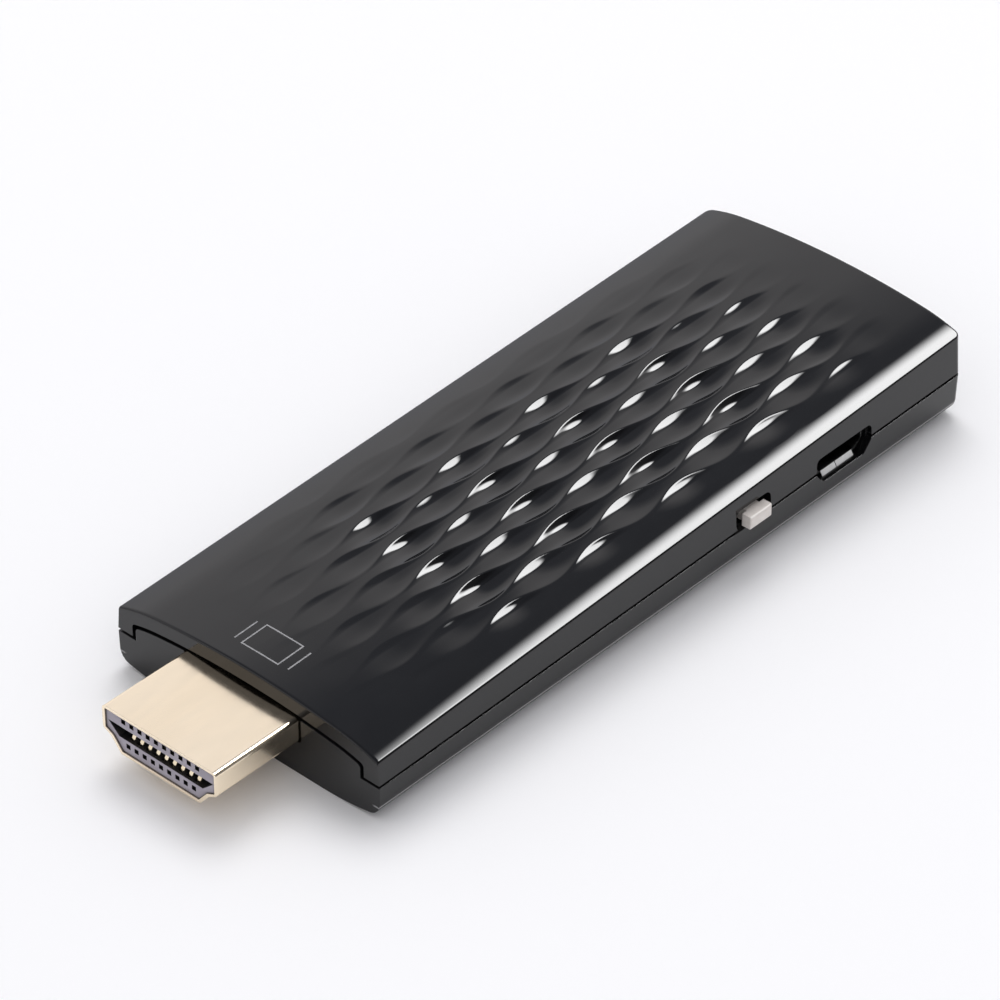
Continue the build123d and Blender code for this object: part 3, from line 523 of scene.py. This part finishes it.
def top_face_grid():
    """Points of the top face in millimetres: crown, relief, rounded edges and rear corners."""
    x, y = np.meshgrid(spaced(COLUMNS, FRONT_X, REAR_X, END_EDGE),
                       spaced(ROWS, -MID_WALL, MID_WALL, CREASE_EDGE), indexing="ij")
    half = crease_y(x) + CREASE_EDGE * DRAFT
    # the rows spread out with the cover's width
    y = y * half / MID_WALL
    depth = relief(x, y)
    # each depth is blended with those one row to either side, which softens the ridges
    depth[:, 1:-1] = 0.5 * depth[:, 1:-1] + 0.25 * (depth[:, 2:] + depth[:, :-2])
    end_drop = edge_drop(np.minimum(x - FRONT_X, REAR_X - x), END_EDGE)
    side_drop = edge_drop(half - np.abs(y), CREASE_EDGE)
    drop = np.hypot(end_drop, side_drop)

    # the rear corners are drawn in from a square to an arc
    ahead = (x - (REAR_X - REAR_CORNER)) / REAR_CORNER
    aside = (np.abs(y) - (half - REAR_CORNER)) / REAR_CORNER
    corner = (ahead > 0) & (aside > 0)
    ahead, aside = ahead[corner], aside[corner]
    reach = np.maximum(ahead, aside)
    shrink = reach / np.hypot(ahead, aside)
    x[corner] = REAR_X - REAR_CORNER + REAR_CORNER * ahead * shrink
    y[corner] = np.sign(y[corner]) * (half[corner] - REAR_CORNER + REAR_CORNER * aside * shrink)
    drop[corner] = edge_drop(REAR_CORNER * (1 - reach), edge_size(ahead, aside))
    return np.stack([x, y, crown_z(x, y) - depth - drop], -1)


def cover_crown_mesh():
    """The finer top face. A short skirt just inside the walls closes the joint at its rim."""
    grid = top_face_grid()
    points = grid.reshape(-1, 3)
    index = np.arange(len(points)).reshape(grid.shape[:2])
    quads = np.stack([index[:-1, :-1], index[1:, :-1], index[1:, 1:], index[:-1, 1:]], -1)
    rim = np.concatenate([index[:, 0], index[-1, 1:], index[-2::-1, -1], index[0, -2:0:-1]])
    below = len(points) + np.arange(len(rim))
    skirt = np.stack([rim, below, np.roll(below, -1), np.roll(rim, -1)], -1)
    inset = np.array([1 - SKIRT_INSET / REAR_X, 1 - SKIRT_INSET / MID_WALL, 1])
    skirt_points = points[rim] * inset - np.array([0, 0, SKIRT_HEIGHT])
    faces = np.concatenate([quads.reshape(-1, 4), skirt])
    mesh = new_mesh("cover_crown", np.concatenate([points, skirt_points]), faces.tolist())
    mesh.polygons.foreach_set("use_smooth", np.ones(len(mesh.polygons), dtype=bool))
    mesh.update()
    return mesh


cover_walls = new_object("cover_walls", cover_wall_mesh(), "gloss_cover")
cover_crown = new_object("cover_crown", cover_crown_mesh(), "gloss_cover")
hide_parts("top_cover")
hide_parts("top_cover")

# Printed mark at the plug's end in millimetres: a plain rectangle between two bars
PRINT_LINE = 0.15
PRINT_LIFT = 0.012
PRINT_STEPS = 12
SCREEN_X = (-37.91, -34.61)
SCREEN_Y = (-1.90, 2.66)
BAR_X = (-37.72, -34.86)
BAR_Y = (3.57, -2.93)


def display_mark_mesh():
    """Flat strokes that follow the crown, each divided along its length."""
    (left, right), (low, high) = SCREEN_X, SCREEN_Y
    inner_low, inner_high = low + PRINT_LINE, high - PRINT_LINE
    strokes = [
        (left, right, low, inner_low),
        (left, right, inner_high, high),
        (left, left + PRINT_LINE, inner_low, inner_high),
        (right - PRINT_LINE, right, inner_low, inner_high),
    ]
    strokes += [(*BAR_X, y - PRINT_LINE / 2, y + PRINT_LINE / 2) for y in BAR_Y]
    points, faces = [], []
    for x0, x1, y0, y1 in strokes:
        for k in range(PRINT_STEPS + 1):
            x = x0 + (x1 - x0) * k / PRINT_STEPS
            y = y0 + (y1 - y0) * k / PRINT_STEPS
            ends = [(x, y0), (x, y1)] if x1 - x0 > y1 - y0 else [(x1, y), (x0, y)]
            points += [(*end, crown_at(*end) + PRINT_LIFT) for end in ends]
            if k:
                n = len(points)
                faces.append((n - 4, n - 2, n - 1, n - 3))
    return new_mesh("display_mark", points, faces)


new_object("display_mark", display_mark_mesh(), "button_white", pale_print)

# Flared lip of the power socket in millimetres: its section in Y and Z, its halves in X
LIP_LOW = (-15.30, 3.30)
LIP_HIGH = (-15.02, 3.76)
LIP_SHEET = 0.08
LIP_HALVES = ((20.2, 22.2), (22.3, 24.7))


def socket_lip_mesh():
    """Two slanted strips of sheet with the seam between them."""
    section = [LIP_LOW, LIP_HIGH]
    section += [(y, z - LIP_SHEET) for y, z in reversed(section)]
    points, faces = [], []
    for half in LIP_HALVES:
        n = len(points)
        points += [(x, y, z) for x in half for y, z in section]
        for k in range(4):
            following = (k + 1) % 4
            faces.append((n + k, n + k + 4, n + following + 4, n + following))
        faces += [(n, n + 1, n + 2, n + 3), (n + 7, n + 6, n + 5, n + 4)]
    return new_mesh("socket_lip", points, faces)


new_object("socket_lip", socket_lip_mesh(), "steel", worn_tin)

# Floor: half its side, and its gap under the case
FLOOR_HALF = 3.0
FLOOR_DROP = 0.00001


def add_floor():
    """A wide pale floor just under the case."""
    mesh = bpy.data.meshes.new("floor")
    corners = [(-FLOOR_HALF, -FLOOR_HALF, 0), (FLOOR_HALF, -FLOOR_HALF, 0),
               (FLOOR_HALF, FLOOR_HALF, 0), (-FLOOR_HALF, FLOOR_HALF, 0)]
    mesh.from_pydata(corners, [], [(0, 1, 2, 3)])
    floor = bpy.data.objects.new("floor", mesh)
    scene.collection.objects.link(floor)
    floor.location.z = cad_box[0][2] - FLOOR_DROP
    mat, _, bsdf = node_material("pale_floor")
    bsdf.inputs["Base Color"].default_value = (0.95, 0.95, 0.965, 1)
    bsdf.inputs["Roughness"].default_value = 0.6
    bsdf.inputs["Specular IOR Level"].default_value = 0.2
    mesh.materials.append(mat)


# Surroundings as the gloss shows them: brightness by elevation in degrees
SKY = [(0, 0.5), (20, 0.98), (30, 1.0), (40, 0.96), (50, 0.40), (60, 0.38), (75, 0.20), (90, 0.34)]
SKY_TINT = 1.02  # red and blue as shares of green where they are brightest
LESS_RED = 0.1  # how much smaller the red share is near black
MORE_BLUE = 0.2  # how much larger the blue share is near black
DARK_SIDE = (-0.5, -0.15)  # Y of the directions over which they darken towards -Y
DARK_SIDE_LIGHT = 0.18
FILL_COLOUR = (0.985, 0.98, 1.0, 1)
FILL_STRENGTH = 0.72


def sky_colour(value):
    """A grey of this brightness, bluer when darker."""
    dark = 1 - value
    return value * (SKY_TINT - LESS_RED * dark), value, value * (SKY_TINT + MORE_BLUE * dark)


def add_world():
    """Surroundings for what the camera and the gloss see, and an even fill for all other light."""
    world = bpy.data.worlds.new("studio")
    scene.world = world
    world.use_nodes = True
    tree = world.node_tree
    tree.nodes.clear()
    rays = tree.nodes.new("ShaderNodeLightPath").outputs
    seen = calculated(tree, "ADD", rays["Is Camera Ray"], rays["Is Glossy Ray"], clamp=True)
    seen = calculated(tree, "ADD", seen, rays["Is Transmission Ray"], clamp=True)
    coord = tree.nodes.new("ShaderNodeTexCoord")
    split = tree.nodes.new("ShaderNodeSeparateXYZ")
    tree.links.new(coord.outputs["Generated"], split.inputs[0])
    stops = [(math.sin(math.radians(elevation)), sky_colour(value)) for elevation, value in SKY]
    sky = ramp(tree, split.outputs["Z"], stops)
    side = map_range(tree, split.outputs["Y"], *DARK_SIDE, DARK_SIDE_LIGHT, 1.0, smooth=True)
    shown = tree.nodes.new("ShaderNodeBackground")
    tree.links.new(tinted(tree, sky, side), shown.inputs["Color"])
    shown.inputs["Strength"].default_value = 1.0
    fill = tree.nodes.new("ShaderNodeBackground")
    fill.inputs["Color"].default_value = FILL_COLOUR
    fill.inputs["Strength"].default_value = FILL_STRENGTH
    mix = tree.nodes.new("ShaderNodeMixShader")
    tree.links.new(seen, mix.inputs["Fac"])
    tree.links.new(fill.outputs[0], mix.inputs[1])
    tree.links.new(shown.outputs[0], mix.inputs[2])
    out = tree.nodes.new("ShaderNodeOutputWorld")
    tree.links.new(mix.outputs[0], out.inputs["Surface"])


def heading(azimuth, elevation):
    """Direction in degrees: azimuth from +X towards +Y, elevation above the floor."""
    a, e = math.radians(azimuth), math.radians(elevation)
    return Vector((math.cos(a) * math.cos(e), math.sin(a) * math.cos(e), math.sin(e)))


FADED_RIM = 0.49  # width of a softbox's faded rim as a share of its radius


def softbox(name, azimuth, elevation, distance, radius, radiance):
    """A round softbox that faces the origin, its light fading at its rim."""
    direction = heading(azimuth, elevation)
    lamp = bpy.data.lights.new(name, "AREA")
    lamp.shape = "SQUARE"
    lamp.size = 2 * radius * (1 + FADED_RIM / 2)
    lamp.energy = radiance * math.pi * lamp.size**2
    lamp.use_nodes = True
    tree = lamp.node_tree
    # across the lamp these coordinates run from 0 to 1
    place = tree.nodes.new("ShaderNodeNewGeometry").outputs["Parametric"]
    off_centre = tree.nodes.new("ShaderNodeVectorMath")
    off_centre.operation = "DISTANCE"
    tree.links.new(place, off_centre.inputs[0])
    off_centre.inputs[1].default_value = (0.5, 0.5, 0.0)
    rim = 0.5
    inside = rim * (1 - FADED_RIM / 2) / (1 + FADED_RIM / 2)
    light = map_range(tree, off_centre.outputs["Value"], inside, rim, 1.0, 0.0, smooth=True)
    tree.links.new(light, tree.nodes["Emission"].inputs["Strength"])
    obj = bpy.data.objects.new(name, lamp)
    scene.collection.objects.link(obj)
    obj.location = direction * distance
    obj.rotation_euler = direction.to_track_quat("Z", "Y").to_euler()
    return obj


def add_softboxes():
    """One is what the gloss shows; the other, broader and weaker, shades the floor."""
    shown = softbox("shown_softbox", azimuth=-14.4, elevation=50.2, distance=0.9,
                    radius=0.197, radiance=20.0)
    shown.visible_diffuse = False
    shade = softbox("shade_softbox", azimuth=42.0, elevation=60.0, distance=1.8,
                    radius=0.60, radiance=3.6)
    shade.visible_glossy = False


# Camera as solved from the photograph, its angles in degrees
VIEW_AZIMUTH = -137.797
VIEW_ELEVATION = 37.515
VIEW_ROLL = 0.242
VIEW_DISTANCE = 0.442792
VIEW_CENTRE = Vector((-0.795, 5.96, 1.32)) * MM


def add_camera():
    """A long lens that looks at the view's centre from the given direction."""
    data = bpy.data.cameras.new("camera")
    data.sensor_width = 36.0
    data.lens = 172.05
    data.clip_start = 0.01
    data.clip_end = 50
    camera = bpy.data.objects.new("camera", data)
    scene.collection.objects.link(camera)
    back = heading(VIEW_AZIMUTH, VIEW_ELEVATION)
    level = Vector((0, 0, 1)).cross(back).normalized()
    upright = back.cross(level)
    roll = math.radians(VIEW_ROLL)
    right = math.cos(roll) * level + math.sin(roll) * upright
    up = math.cos(roll) * upright - math.sin(roll) * level
    placement = Matrix((right, up, back)).transposed().to_4x4()
    placement.translation = VIEW_CENTRE + back * VIEW_DISTANCE
    camera.matrix_world = placement
    scene.camera = camera


add_floor()
add_world()
add_softboxes()
add_camera()
scene.view_settings.view_transform = "Standard"
